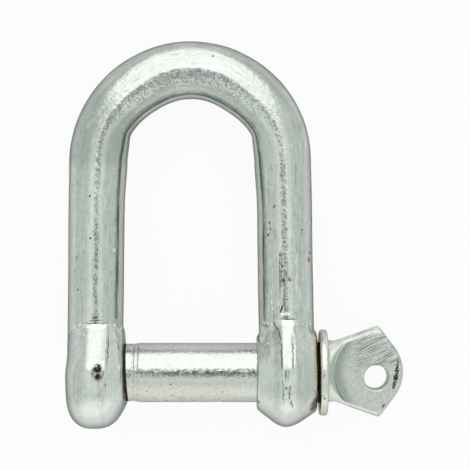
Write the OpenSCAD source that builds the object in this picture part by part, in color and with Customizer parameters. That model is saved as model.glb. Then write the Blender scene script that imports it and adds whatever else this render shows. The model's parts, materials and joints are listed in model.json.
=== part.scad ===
// Screw-pin D-shackle for joining chain: a forged round-bar bow and a collared
// screw pin that ends in a flat, drilled eye.
//
// Millimetres. The pin's axis lies along +X through the origin, midway between
// the ears. +Y runs from the pin to the crown and +Z is up. The shackle is shown
// lying on its two ears and its crown, so both pieces lean by lay_tilt about the
// pin's axis.

/* [Bow] */
// Diameter of the round bar at the crown
bar_d = 9.65; // [8:0.05:9.8]
// Diameter of each leg where it meets its ear
leg_d = 9.5; // [8:0.1:9.9]
// Diameter of each leg where it meets the crown, thickened by the bend
shoulder_d = 9.9; // [9.85:0.05:11]
// Radius of the inside of the crown
crown_inside_r = 10.7; // [9.5:0.1:12]
// Length from the pin's axis to the inside of the crown
inside_len = 46.2; // [38:0.1:70]
// Clear width of the jaw, between the inner faces of the ears
jaw_w = 22.2; // [20:0.1:26]

/* [Ears] */
// Diameter of both ears, across the rim
ear_d = 19; // [18:0.1:24]
// Width of each ear, along the pin
ear_w = 10.1; // [10:0.1:14]
// Radius of the rounded rim corners on the threaded ear
ear_round_r = 4.4; // [1:0.1:4.6]
// Width of the bevel on the plain ear's rim, along the pin
ear_bevel_w = 3.7; // [1:0.1:4.4]
// Height of the bevel on the plain ear's rim, outward from the pin
ear_bevel_h = 2.6; // [1:0.1:3]
// Countersink at both mouths of each bore
bore_chamfer = 0.4; // [0.2:0.1:0.8]

/* [Pin] */
// Diameter of the plain shank
pin_d = 10; // [8:0.1:10.4]
// Radial step from the shank down to the crests of the screw thread
thread_step = 0.15; // [0.05:0.05:0.6]
// Length of screwed end that shows inside the jaw, beside the threaded ear
thread_show = 1.95; // [1:0.05:4]
// Depth of the pin's tip inside the outer face of the threaded ear
tip_recess = 0.3; // [0:0.1:2]
// Chamfer at the pin's tip
tip_chamfer = 1; // [0.3:0.1:1.5]
// Radial clearance of the shank in the plain ear
shank_clearance = 0.25; // [0.05:0.05:0.4]
// Radial clearance of the thread's crests in the threaded ear
thread_clearance = 0.06; // [0.02:0.01:0.1]

/* [Collar] */
// Diameter of the collar
collar_d = 14.5; // [13:0.1:18]
// Thickness of the collar
collar_t = 1.4; // [1:0.1:3]
// Bevel on both edges of the collar
collar_edge = 0.3; // [0.1:0.05:0.4]
// Gap left between the collar and the plain ear
collar_gap = 0.4; // [0.2:0.1:1.5]

/* [Eye] */
// Diameter of the round neck between the collar and the eye
neck_d = 10.3; // [9:0.1:11]
// Length from the collar to the widest point of the eye
eye_len = 8.6; // [7.5:0.1:11]
// Width of the eye across its two corners
eye_w = 15.5; // [14:0.1:20]
// Thickness of the flat eye
eye_t = 4.4; // [3:0.1:6]
// Radius of the eye's rounded tip
tip_r = 6.75; // [5.5:0.05:7]
// Length from the collar to the end of the tip
head_len = 12.95; // [12.5:0.05:16]
// Inward lean of the eye's two flanks, from the land to the face
flank_draft = 0.75; // [0.2:0.05:1]
// Height of the straight land along the middle of each flank
flank_land = 0.4; // [0.2:0.1:1]
// Diameter of the drilled hole
hole_d = 4.2; // [3:0.1:5]
// Length from the collar to the centre of the hole
hole_from_collar = 8.3; // [6.5:0.1:8.8]
// Offset of the hole from the pin's axis
hole_offset = -0.7; // [-1:0.1:1]
// Radius of the round flat that is pressed into the neck to form the eye
flat_r = 7.6; // [7:0.1:8]
// Length from the collar to the near edge of the pressed flat
flat_start = 1.3; // [0.8:0.1:2]

/* [Hidden] */

$fn = 96;
ZINC_BOW = [0.69, 0.74, 0.70];
ZINC_PIN = [0.73, 0.76, 0.72];

// Slope of the wall that rises from the pressed flat to the round neck
flat_wall_angle = 38;
// How far a cutter reaches past the faces that it cuts
over = 1;

// Bow: the crown is an arc, and each leg is tangent to it and meets its ear's centre
bend_r = crown_inside_r + bar_d / 2;
crown_y = inside_len - crown_inside_r;
ear_x = jaw_w / 2 + ear_w / 2;
ear_reach = norm([ear_x, crown_y]);
leg_splay = atan(ear_x / crown_y) - asin(bend_r / ear_reach);
leg_len = sqrt(ear_reach * ear_reach - bend_r * bend_r);
ear_outer_x = jaw_w / 2 + ear_w;

// Lean at which the crown touches the surface that the ears lie on
lay_tilt = asin((ear_d - bar_d) / 2 / (inside_len + bar_d / 2));

// Pin: outside diameter of its thread, and places along its axis
thread_d = pin_d - 2 * thread_step;
tip_x = -ear_outer_x + tip_recess;
step_x = -jaw_w / 2 + thread_show;
collar_x = ear_outer_x + collar_gap;
neck_x = collar_x + collar_t;
corner_x = neck_x + eye_len;
tip_centre_x = neck_x + head_len - tip_r;
flat_x = neck_x + flat_start + flat_r;

// Eye: the tip's arc is met by a straight edge from each corner, tangent to the arc
corner_reach = norm([corner_x - tip_centre_x, eye_w / 2]);
edge_angle = atan2(eye_w / 2, corner_x - tip_centre_x) - acos(tip_r / corner_reach);
flank_start = [neck_x + flat_start, neck_d / 2];
flank_run = [corner_x - flank_start[0], eye_w / 2 - flank_start[1]];
flank_angle = atan2(flank_run[1], flank_run[0]);
draft_angle = atan(flank_draft / ((eye_t - flank_land) / 2));

// Turns a shape drawn about Z so that its axis lies along +X
module along_x() {
    rotate([0, 90, 0]) children();
}

// Leans a piece so that the shackle lies on its ears and its crown
module laid_down() {
    rotate([-lay_tilt, 0, 0]) children();
}

// Crown of the bow, between the two legs
module crown() {
    translate([0, crown_y, 0])
        rotate([0, 0, leg_splay])
            rotate_extrude(angle = 180 - 2 * leg_splay)
                translate([bend_r, 0]) circle(d = bar_d);
}

// Half-section of a leg: tapered, with a round end that sinks into the crown
module leg_section() {
    polygon([
        [0, 0], [leg_d / 2, 0], [shoulder_d / 2, leg_len], [0, leg_len]
    ]);
    translate([0, leg_len])
        intersection() {
            circle(d = shoulder_d);
            square(shoulder_d);
        }
}

// One leg, from its ear's centre up to the crown
module leg(side) {
    translate([side * ear_x, 0, 0])
        rotate([0, 0, side * leg_splay])
            rotate([-90, 0, 0]) rotate_extrude() leg_section();
}

// Half-section of the threaded ear: straight faces and rounded rim corners
module round_ear_section() {
    corner = [ear_d / 2 - ear_round_r, ear_w / 2 - ear_round_r];
    translate([0, -ear_w / 2]) square([corner[0], ear_w]);
    translate([0, -corner[1]]) square([ear_d / 2, 2 * corner[1]]);
    for (s = [-1, 1])
        translate([corner[0], s * corner[1]]) circle(r = ear_round_r);
}

// Half-section of the plain ear: straight faces and a bevelled rim
module bevel_ear_section() {
    face_r = ear_d / 2 - ear_bevel_h;
    land = ear_w / 2 - ear_bevel_w;
    polygon([
        [0, -ear_w / 2], [face_r, -ear_w / 2], [ear_d / 2, -land],
        [ear_d / 2, land], [face_r, ear_w / 2], [0, ear_w / 2]
    ]);
}

// Bore through one ear, countersunk at both mouths
module ear_bore(bore_r) {
    mouth_r = bore_r + bore_chamfer + over;
    along_x() {
        cylinder(r = bore_r, h = ear_w + 2 * over, center = true);
        for (s = [0, 1])
            mirror([0, 0, s])
                translate([0, 0, ear_w / 2 - bore_chamfer])
                    cylinder(r1 = bore_r, r2 = mouth_r, h = mouth_r - bore_r);
    }
}

module shackle_bow() {
    color(ZINC_BOW) laid_down() difference() {
        union() {
            crown();
            leg(-1);
            leg(1);
            translate([-ear_x, 0, 0]) along_x() rotate_extrude() round_ear_section();
            translate([ear_x, 0, 0]) along_x() rotate_extrude() bevel_ear_section();
        }
        translate([-ear_x, 0, 0]) ear_bore(thread_d / 2 + thread_clearance);
        translate([ear_x, 0, 0]) ear_bore(pin_d / 2 + shank_clearance);
    }
}

// Screwed end, shank and collar, turned as one
module pin_shank() {
    thread_r = thread_d / 2;
    collar_r = collar_d / 2;
    along_x() rotate_extrude() polygon([
        [0, tip_x], [thread_r - tip_chamfer, tip_x], [thread_r, tip_x + tip_chamfer],
        [thread_r, step_x - thread_step], [pin_d / 2, step_x], [pin_d / 2, collar_x],
        [collar_r - collar_edge, collar_x], [collar_r, collar_x + collar_edge],
        [collar_r, neck_x - collar_edge], [collar_r - collar_edge, neck_x], [0, neck_x]
    ]);
}

// Round neck, with a flat pressed into it from both sides
module neck() {
    press_h = neck_d / 2 - eye_t / 2 + over;
    difference() {
        translate([neck_x, 0, 0]) along_x() cylinder(d = neck_d, h = flat_start + flat_r);
        for (s = [0, 1])
            mirror([0, 0, s])
                translate([flat_x, 0, eye_t / 2])
                    cylinder(r1 = flat_r, r2 = flat_r + press_h * tan(flat_wall_angle), h = press_h);
    }
}

// Outline of the flat eye: flared flanks, two corners and a rounded tip
module eye_outline() {
    edge_end = tip_r * [cos(edge_angle), sin(edge_angle)];
    translate([tip_centre_x, 0]) circle(r = tip_r);
    polygon([
        [flank_start[0], -flank_start[1]], [corner_x, -eye_w / 2],
        [tip_centre_x + edge_end[0], -edge_end[1]], [tip_centre_x, 0],
        [tip_centre_x + edge_end[0], edge_end[1]], [corner_x, eye_w / 2],
        flank_start
    ]);
}

// Cutter that leans one flank in towards the eye's upper face
module flank_cutter() {
    reach = norm(flank_run) + 2 * over;
    translate([flank_start[0], flank_start[1], flank_land / 2])
        rotate([0, 0, flank_angle])
            rotate([draft_angle, 0, 0])
                translate([-over, 0, 0]) cube([reach, eye_w, eye_t]);
}

module eye_plate() {
    difference() {
        linear_extrude(height = eye_t, center = true) eye_outline();
        for (a = [0, 1], b = [0, 1])
            mirror([0, a, 0]) mirror([0, 0, b]) flank_cutter();
    }
}

module screw_pin() {
    color(ZINC_PIN) laid_down() difference() {
        union() {
            pin_shank();
            neck();
            eye_plate();
        }
        translate([neck_x + hole_from_collar, hole_offset, 0])
            cylinder(d = hole_d, h = eye_t + 2 * over, center = true);
    }
}

shackle_bow();
screw_pin();
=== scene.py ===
"""Looks for the screw-pin chain shackle: a forged bow and a collared screw pin, both zinc coated.

Each piece is a distance field in millimetres, in a frame that lies flat with the bow (origin on the
pin's axis, X along the pin, Y to the crown). The field's zero surface is meshed, leaned by the angle
at which the shackle lies on the floor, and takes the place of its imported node.
"""
import json
import math

import bpy
import numpy as np
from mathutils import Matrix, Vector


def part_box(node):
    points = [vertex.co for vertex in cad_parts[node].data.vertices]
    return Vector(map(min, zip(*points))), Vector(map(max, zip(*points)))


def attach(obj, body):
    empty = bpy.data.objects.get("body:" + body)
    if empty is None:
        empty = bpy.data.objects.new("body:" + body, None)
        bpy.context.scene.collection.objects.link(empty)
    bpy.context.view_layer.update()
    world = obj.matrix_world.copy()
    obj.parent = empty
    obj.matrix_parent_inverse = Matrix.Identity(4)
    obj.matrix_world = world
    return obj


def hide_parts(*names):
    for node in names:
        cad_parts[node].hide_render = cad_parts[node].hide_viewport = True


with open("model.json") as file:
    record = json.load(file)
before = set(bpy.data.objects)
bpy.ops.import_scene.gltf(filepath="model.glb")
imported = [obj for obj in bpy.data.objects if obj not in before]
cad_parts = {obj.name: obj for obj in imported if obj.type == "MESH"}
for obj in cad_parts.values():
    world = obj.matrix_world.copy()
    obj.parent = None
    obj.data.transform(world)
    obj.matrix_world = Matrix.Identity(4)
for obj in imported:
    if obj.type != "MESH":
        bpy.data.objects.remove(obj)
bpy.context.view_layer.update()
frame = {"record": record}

MM = 0.001
TAU = 2 * math.pi
SQRT_HALF = math.sqrt(0.5)

# The pin is this much shorter than its solid, at its screwed tip and at the end of its eye
TIP_SHORTER = 0.25
END_SHORTER = 0.25

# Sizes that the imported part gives, in millimetres
mounts = {mount["name"]: mount for mount in frame["record"]["mounts"]}
bow_low, bow_high = (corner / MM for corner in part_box("shackle_bow"))
pin_low, pin_high = (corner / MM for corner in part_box("screw_pin"))
LAY_TILT = math.asin(mounts["mousing_eye"]["axis"][1])
FLOOR_Z = bow_low.z
EAR_R = bow_high.z
EAR_OUTER_X = bow_high.x
INSIDE_LEN = math.hypot(*mounts["crown_bearing"]["pos_m"]) / MM
PIN_TIP_X = pin_low.x + TIP_SHORTER
PIN_END_X = pin_high.x
HOLE_X = mounts["mousing_eye"]["pos_m"][0] / MM
HOLE_Y = mounts["mousing_eye"]["pos_m"][1] / MM / math.cos(LAY_TILT)
HOLE_R = mounts["mousing_eye"]["dims"]["r_mm"]

# Bow, in millimetres
JAW_W = 22.2
EAR_HALF_W = (EAR_OUTER_X - JAW_W / 2) / 2
EAR_X = (EAR_OUTER_X + JAW_W / 2) / 2
BAR_R = 4.825
CROWN_INSIDE_R = 10.7
BEND_R = CROWN_INSIDE_R + BAR_R
CROWN_Y = INSIDE_LEN - CROWN_INSIDE_R
CROWN_OUTER_R = BEND_R + BAR_R
LEG_R = 4.75
# Half width of the bar's outer side, at the left and at the right shoulder
SHOULDER_R = (5.0, 4.78)
# Half width of the legs' inner side, below the shoulders and further down
LEG_INNER_R = (4.5, 4.58)

# Pin, in millimetres
PIN_R = 5.0
THREAD_R = 4.85
THREAD_PITCH = 1.5
THREAD_DEPTH = 0.75
THREADED_BORE_R = 4.91
PLAIN_BORE_R = 5.25
COLLAR_GAP = 0.4
COLLAR_X = EAR_OUTER_X + COLLAR_GAP
COLLAR_T = 1.4
COLLAR_R = 7.25
NECK_X = COLLAR_X + COLLAR_T
NECK_R = 5.15
EYE_HALF_T = 2.2
EYE_LEN = 8.6
CORNER_X = NECK_X + EYE_LEN
CORNER_Y = 7.75
TIP_R = 6.75
TIP_CENTRE_X = PIN_END_X - END_SHORTER - TIP_R


# Field helpers

LEAST_SLOPE = 1e-6
EVENING_PASSES = 2


def smooth_min(a, b, k):
    """The union of two fields, with a fillet of about k."""
    h = np.clip(0.5 + 0.5 * (b - a) / k, 0, 1)
    return b + (a - b) * h - k * h * (1 - h)


def smooth_max(a, b, k):
    """The intersection of two fields, with an edge rounded by about k."""
    return -smooth_min(-a, -b, k)


def ramp(value, low, high):
    """0 at low, 1 at high, smooth between and level beyond; low may be the larger one."""
    t = np.clip((value - low) / (high - low), 0, 1)
    return t * t * (3 - 2 * t)


def ridge(value, centre, half_width):
    """1 at centre, falling to 0 at half_width on both sides."""
    return 1 - ramp(np.abs(value - centre), 0, half_width)


def window(value, low, high, edge):
    """1 between low and high, with soft edges outside them."""
    return ramp(value, low - edge, low) * ramp(value, high + edge, high)


def between(pair, share):
    """The first of a pair where share is 0, the second where it is 1."""
    return pair[0] + (pair[1] - pair[0]) * share


class LatticeNoise:
    """Smooth noise from -1 to 1, interpolated between seeded values on a repeating lattice."""

    size = 32

    def __init__(self, seed):
        self.values = np.random.default_rng(seed).uniform(-1, 1, (self.size,) * 3)

    def __call__(self, x, y, z):
        cell = np.floor(np.stack([x, y, z])).astype(int)
        fx, fy, fz = (t * t * (3 - 2 * t) for t in np.stack([x, y, z]) - cell)
        total = 0
        for i in (0, 1):
            for j in (0, 1):
                for k in (0, 1):
                    corner = [(c + o) % self.size for c, o in zip(cell, (i, j, k))]
                    weight = (fx if i else 1 - fx) * (fy if j else 1 - fy) * (fz if k else 1 - fz)
                    total = total + weight * self.values[tuple(corner)]
        return total


forging = LatticeNoise(11)


def waves(x, y, z, height, width, length, offset):
    """Noise of a height, in waves of a width and length, from the lattice at an offset."""
    return height * forging(x / width + offset, y / length + offset, z / width + offset)


def gradient(field, points, step=0.02):
    """The field's slope at points, by central differences."""
    slope = np.empty_like(points)
    for axis in range(3):
        offset = np.zeros(3)
        offset[axis] = step
        slope[:, axis] = (field(*(points + offset).T) - field(*(points - offset).T)) / (2 * step)
    return slope


def settle(field, points, passes=3):
    """Moves points onto the field's zero surface."""
    for _ in range(passes):
        slope = gradient(field, points)
        share = field(*points.T) / np.maximum((slope ** 2).sum(1), LEAST_SLOPE)
        points = points - slope * share[:, None]
    return points


def evened(points, quads):
    """Each point moved half way to the mean of its neighbours, which evens out the quads."""
    total = np.zeros_like(points)
    count = np.zeros(len(points))
    for a, b in ((0, 1), (1, 2), (2, 3), (3, 0)):
        for start, end in ((a, b), (b, a)):
            np.add.at(total, quads[:, start], points[quads[:, end]])
            np.add.at(count, quads[:, start], 1)
    return 0.5 * points + 0.5 * total / count[:, None]


def meshed(field, low, high, cell):
    """Points and quads of the field's zero surface: one point in each grid cell that the surface
    crosses, and one quad around each grid edge that it crosses."""
    axes = [np.arange(a, b + cell, cell) for a, b in zip(low, high)]
    value = field(*np.meshgrid(*axes, indexing="ij"))
    inside = value < 0
    corners = [(i, j, k) for i in (0, 1) for j in (0, 1) for k in (0, 1)]

    def at(grid, corner):
        return grid[tuple(slice(c, n - 1 + c) for c, n in zip(corner, grid.shape))]

    count_inside = sum(at(inside, corner).astype(int) for corner in corners)
    cells = np.argwhere((count_inside > 0) & (count_inside < len(corners)))
    number = np.full(count_inside.shape, -1)
    number[tuple(cells.T)] = np.arange(len(cells))

    total = np.zeros(cells.shape)
    count = np.zeros(len(cells))
    for a in corners:
        for axis in range(3):
            if a[axis]:
                continue
            b = tuple(c + (i == axis) for i, c in enumerate(a))
            value_a = value[tuple((cells + a).T)]
            value_b = value[tuple((cells + b).T)]
            crossed = (value_a < 0) != (value_b < 0)
            share = np.where(crossed, value_a / np.where(crossed, value_a - value_b, 1), 0)
            total[crossed] += np.array(a) + share[crossed, None] * (np.array(b) - a)
            count += crossed
    points = np.array(low) + cell * (cells + total / count[:, None])

    quads = []
    for axis in range(3):
        u, v = (axis + 1) % 3, (axis + 2) % 3
        first = [slice(1, -1)] * 3
        second = [slice(1, -1)] * 3
        first[axis], second[axis] = slice(0, -1), slice(1, None)
        starts, ends = inside[tuple(first)], inside[tuple(second)]
        edges = np.argwhere(starts != ends)
        outward = starts[tuple(edges.T)]
        edges[:, u] += 1
        edges[:, v] += 1
        around = []
        for du, dv in ((-1, -1), (0, -1), (0, 0), (-1, 0)):
            cell_index = edges.copy()
            cell_index[:, u] += du
            cell_index[:, v] += dv
            around.append(number[tuple(cell_index.T)])
        ring = np.stack(around, 1)
        quads.append(np.where(outward[:, None], ring, ring[:, ::-1]))
    quads = np.concatenate(quads)

    points = settle(field, points)
    for _ in range(EVENING_PASSES):
        points = settle(field, evened(points, quads))
    return points, quads


# Bow: the bent bar

EAR_REACH = math.hypot(EAR_X, CROWN_Y)
LEG_SPLAY = math.atan(EAR_X / CROWN_Y) - math.asin(BEND_R / EAR_REACH)
LEG_LEN = math.sqrt(EAR_REACH ** 2 - BEND_R ** 2)
BEND_TURN = math.pi / 2 - LEG_SPLAY
BEND_LEN = BEND_R * BEND_TURN
# The legs start inside the ears, this far from the pin's axis
LEG_END_Y = 2.0
# The inside of the crown is an arc of its own, a little lower and wider than the outside's
ARCH_DROP = 0.79
ARCH_R = 11.51
ARCH_EDGE = 0.12
# Below the arch, the inside is straight: its distance and turn from the crown's centre
STRAIGHT_R = 10.68
STRAIGHT_TURN = math.radians(84)
STRAIGHT_LEAST_COS = 0.5
# The arch is flatter half way down: how far, where and over what turn
ARCH_FLAT = 0.29
ARCH_FLAT_TURN = math.radians(35)
ARCH_FLAT_SPREAD = math.radians(32)
# The bar's section is a superellipse: round on the legs and squarer on the crown
LEG_POWER = 2.05
CROWN_POWER = 2.6
# Where the bar's sizes change, in bend lengths from the middle of the crown
OUTER_WIDENS = (0.6, 1.0)
INNER_NARROWS = (0.97, 1.3)
INNER_WIDENS = (1.4, 2.0)
HEIGHT_FALLS = (0.7, 1.0)
SECTION_SQUARES = (1.1, 0.6)
# The crown's crest lies inside the bar's centre line: how far, where along the bar and over what length
CREST_SHIFT = 0.5
CREST_SHIFT_AT = 11.0
CREST_SHIFT_SPREAD = 8.0


def bar_place(x, y):
    """Length along the bar from the middle of the crown, distance outward from its centre line, and
    turn about the crown's centre."""
    turn = np.arctan2(np.abs(x), y - CROWN_Y)
    across = np.abs(x) - EAR_X
    up_leg = y * math.cos(LEG_SPLAY) - across * math.sin(LEG_SPLAY)
    off_leg = across * math.cos(LEG_SPLAY) + y * math.sin(LEG_SPLAY)
    on_crown = turn < BEND_TURN
    length = np.where(on_crown, BEND_R * turn, BEND_LEN + LEG_LEN - up_leg)
    outward = np.where(on_crown, np.hypot(x, y - CROWN_Y) - BEND_R, off_leg)
    return length, outward, turn


def crest_shift(length):
    """How far the crest lies inside the bar's centre line, half way round the bend."""
    return CREST_SHIFT * ridge(length, CREST_SHIFT_AT, CREST_SHIFT_SPREAD)


def bar_field(x, y, z):
    """Crown and legs: one bent bar, thicker at the shoulders and flattened inside the bend."""
    length, outward, turn = bar_place(x, y)
    along = length / BEND_LEN
    shoulder = np.where(x < 0, *SHOULDER_R)
    outer = BAR_R + (shoulder - BAR_R) * ramp(along, *OUTER_WIDENS)
    outer = outer + (LEG_R - shoulder) * ramp(length, BEND_LEN, BEND_LEN + LEG_LEN)

    arch = np.sqrt(ARCH_R ** 2 - (ARCH_DROP * np.sin(turn)) ** 2) - ARCH_DROP * np.cos(turn)
    arch = arch - ARCH_FLAT * ridge(turn, ARCH_FLAT_TURN, ARCH_FLAT_SPREAD)
    straight = STRAIGHT_R / np.maximum(np.cos(STRAIGHT_TURN - turn), STRAIGHT_LEAST_COS)
    shoulder_inner = BEND_R - STRAIGHT_R
    inner = shoulder_inner + (LEG_INNER_R[0] - shoulder_inner) * ramp(along, *INNER_NARROWS)
    inner = inner + (LEG_INNER_R[1] - LEG_INNER_R[0]) * ramp(along, *INNER_WIDENS)
    inner = np.where(turn < BEND_TURN, BEND_R - smooth_min(arch, straight, ARCH_EDGE), inner)

    half_width = (outer + inner) / 2
    half_height = BAR_R + (LEG_R - BAR_R) * ramp(along, *HEIGHT_FALLS)
    power = LEG_POWER + (CROWN_POWER - LEG_POWER) * ramp(along, *SECTION_SQUARES)
    across = np.abs(outward - (outer - inner) / 2) / half_width
    section = (across ** power + np.abs(z / half_height) ** power) ** (1 / power)
    return np.maximum((section - 1) * half_height, LEG_END_Y - y)


# Bow: the ears. A pair of sizes holds over an ear's top and bottom, and at its end away from the leg

# Slope of the ramp on which each ear's rim runs down to its leg, and its distance from the pin's axis
EAR_RAMP = math.radians(36)
ROUND_RAMP_REACH = 8.66
PLAIN_RAMP_REACH = 9.05
RAMP_EDGE = 0.4
# Beside the ear's middle, the ramp gives way to the rim's circle between these distances
RAMP_HALF_W = (2.8, 4.2)
# Where an ear's end away from the leg begins, in shares of its radius
EAR_END = (0.1, 0.85)
# Threaded ear: a dome whose ridge wanders and whose inner side is cut by a flat face
ROUND_FOOT_R = 2.5
ROUND_OUTER_W = (4.8, 5.0)
ROUND_INNER_W = (6.45, 5.15)
ROUND_RIDGE = (0.75, -0.1)
ROUND_OUTER_POWER = 2.5
ROUND_INNER_POWER = (2.2, 2.5)
ROUND_FACE_X = -11.1
ROUND_FACE_SKEW = 0.03
ROUND_FACE_EDGE = 0.4
# Small flat on its top, square to the line of sight
FACET_POINT = (-15.05, 0.9, 9.339)
FACET_NORMAL = (0.07, 0.13, 0.989)
FACET_HALF_W = 0.87
FACET_SIDE_SLOPE = 0.5
FACET_EDGE = 0.05
# Boss around the mouth of its bore; a share below 1 widens the boss's blends
BOSS_R = 5.15
BOSS_FLARE = 0.5
BOSS_FLARE_LEN = 0.8
BOSS_END_X = -10.95
BOSS_SKEW = 0.045
BOSS_SHARE = 0.7
BOSS_EDGE = 0.3
BOSS_FILLET = 0.45
# Plain ear: a narrow land between a bevel inside and a slope outside
PLAIN_RIDGE = (0.2, -0.2)
PLAIN_BEVEL = math.radians(38.4)
PLAIN_SLOPE = math.radians(34)
PLAIN_LAND_INNER = (1.15, 0.9)
PLAIN_LAND_OUTER = (1.0, 1.1)
PLAIN_EDGE = (0.3, 1.0)
PLAIN_END_SHARE = 0.974
PLAIN_FACE_EDGE = 0.4
# Countersinks of the threaded and of the plain bore, and the threaded bore's plain ends
BORE_MOUTH = (0.12, 0.4)
BORE_EDGE = 0.25
TAP_END = 0.8
# Beside a thread's flanks, the distance is about this share of the radial one
TAP_SHARE = 0.75
EAR_FILLET = 0.12


def rim_reach(x, y, z, ramp_reach):
    """Distance from the pin's axis, or past the ramp where the rim runs down to its leg."""
    off_ramp = y * math.sin(EAR_RAMP) + np.abs(z) * math.cos(EAR_RAMP)
    down_ramp = y * math.cos(EAR_RAMP) - np.abs(z) * math.sin(EAR_RAMP)
    beside_ramp = ramp(np.abs(np.abs(x) - EAR_X), *RAMP_HALF_W)
    round_part = np.where(down_ramp > 0, down_ramp * beside_ramp, down_ramp)
    return smooth_max(np.hypot(off_ramp, round_part), off_ramp + EAR_R - ramp_reach, RAMP_EDGE)


def away_from_leg(y):
    """0 over the top and bottom of an ear, 1 at its end away from the leg."""
    return ramp(-y / EAR_R, *EAR_END)


def round_ear_field(x, y, z):
    """The threaded ear, with the flat on its top and the boss around its bore."""
    away = away_from_leg(y)
    ridge_x = between(ROUND_RIDGE, away)
    across = x + EAR_X - ridge_x
    outer_w = between(ROUND_OUTER_W, away) + ridge_x
    inner_w = between(ROUND_INNER_W, away) - ridge_x
    side = np.where(across < 0, -across / outer_w, across / inner_w)
    height = EAR_R - ROUND_FOOT_R
    rise = np.maximum(rim_reach(x, y, z, ROUND_RAMP_REACH) - ROUND_FOOT_R, 0) / height
    power = np.where(across < 0, ROUND_OUTER_POWER, between(ROUND_INNER_POWER, away))
    dome = ((side ** power + rise ** power) ** (1 / power) - 1) * height
    dome = smooth_max(dome, x + ROUND_FACE_SKEW * y - ROUND_FACE_X, ROUND_FACE_EDGE)

    facet = sum((p - c) * n for p, c, n in zip((x, y, z), FACET_POINT, FACET_NORMAL))
    inside_facet = FACET_HALF_W - np.abs(x - FACET_POINT[0])
    facet = np.minimum(facet, FACET_SIDE_SLOPE * inside_facet)

    past_end = x + BOSS_SKEW * y - BOSS_END_X
    boss_r = BOSS_R + BOSS_FLARE * np.clip(-past_end, 0, BOSS_FLARE_LEN)
    boss = smooth_max((np.hypot(y, z) - boss_r) * BOSS_SHARE, past_end, BOSS_EDGE)
    boss = np.maximum(boss, -EAR_X - x)
    return smooth_min(smooth_max(dome, facet, FACET_EDGE), boss, BOSS_FILLET)


def plain_ear_field(x, y, z):
    """The plain ear, which reaches a little less far at its end away from the leg."""
    away = away_from_leg(y)
    across = x - EAR_X - between(PLAIN_RIDGE, away)
    stretched_y = np.where(y < 0, y / PLAIN_END_SHARE, y)
    rim = rim_reach(x, stretched_y, z, PLAIN_RAMP_REACH) - EAR_R
    past_bevel = -across - between(PLAIN_LAND_INNER, away)
    past_slope = across - between(PLAIN_LAND_OUTER, away)
    bevel = rim * math.cos(PLAIN_BEVEL) + past_bevel * math.sin(PLAIN_BEVEL)
    slope = rim * math.cos(PLAIN_SLOPE) + past_slope * math.sin(PLAIN_SLOPE)
    edge = between(PLAIN_EDGE, away)
    field = smooth_max(smooth_max(rim, bevel, edge), slope, edge)
    return smooth_max(field, np.abs(x - EAR_X) - EAR_HALF_W, PLAIN_FACE_EDGE)


def bore_field(x, y, z, centre_x, radius, chamfer):
    """Solid side of one bore with countersunk mouths."""
    mouth = np.clip(np.abs(x - centre_x) - EAR_HALF_W + chamfer, 0, chamfer)
    return radius + mouth - np.hypot(y, z)


def thread_wave(x, y, z):
    """0 on the crests and 1 at the roots of a right-hand thread along X."""
    turn = x / THREAD_PITCH - np.arctan2(z, y) / TAU
    return np.abs(2 * (turn - np.floor(turn)) - 1)


# Bow: relief, in millimetres. A range is low, high and soft edge

# Waves of the forging: height, width, length and place in the noise
BOW_WAVES = ((0.035, 3.1, 4.5, 40), (0.012, 1.3, 1.9, 60))
TOP_Z = (0, 1)
# Flattened patch on the right leg
PATCH_DEPTH = 0.11
PATCH_X = (15.05, 17.75, 0.15)
PATCH_Y = (10.4, 20.2, 0.4)
# Dent on the left leg: its rim and its floor, and its share of length to width
DENT_DEPTH = 0.1
DENT_CENTRE = (-13.69, 19.28)
DENT_SQUEEZE = 0.7
DENT_R = (0.8, 0.1)
# Step beside the left ear's land and groove beside the right ear's, both on the rims
RIM_R = (7.5, 8.5)
STEP_DEPTH = 0.14
STEP_X = (-13.72, -13.45)
STEP_Y = (-1.5, 7.6, 0.8)
GROOVE_DEPTH = 0.1
GROOVE_X = 17.05
GROOVE_HALF_W = 0.3
GROOVE_Y = (-0.5, 6.5, 0.8)
# Crest along the top of the crown: its slopes outward and inward, and where it ends
CREST_SLOPES = (0.11, 0.05)
CREST_HALF_W = 1.6
CREST_END = (3, -6)
CREST_Z = (2.0, 3.8)


def bow_relief(x, y, z):
    """Height of the forging's waves and tool marks above the plain form."""
    relief = sum(waves(x, y, z, *row) for row in BOW_WAVES)
    above = ramp(z, *TOP_Z)
    relief = relief - PATCH_DEPTH * window(x, *PATCH_X) * window(y, *PATCH_Y) * above
    from_dent = np.hypot(x - DENT_CENTRE[0], (y - DENT_CENTRE[1]) * DENT_SQUEEZE)
    relief = relief - DENT_DEPTH * ramp(from_dent, *DENT_R) * above
    rim = above * ramp(np.hypot(y, z), *RIM_R)
    relief = relief - STEP_DEPTH * rim * ramp(x, *STEP_X) * window(y, *STEP_Y)
    relief = relief - GROOVE_DEPTH * rim * ridge(x, GROOVE_X, GROOVE_HALF_W) * window(y, *GROOVE_Y)
    length, outward, _ = bar_place(x, y)
    outward = outward + crest_shift(length)
    crest = np.where(outward > 0, *CREST_SLOPES) * np.minimum(np.abs(outward), CREST_HALF_W)
    return relief - crest * ramp(length - BEND_LEN, *CREST_END) * ramp(z, *CREST_Z)


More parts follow.
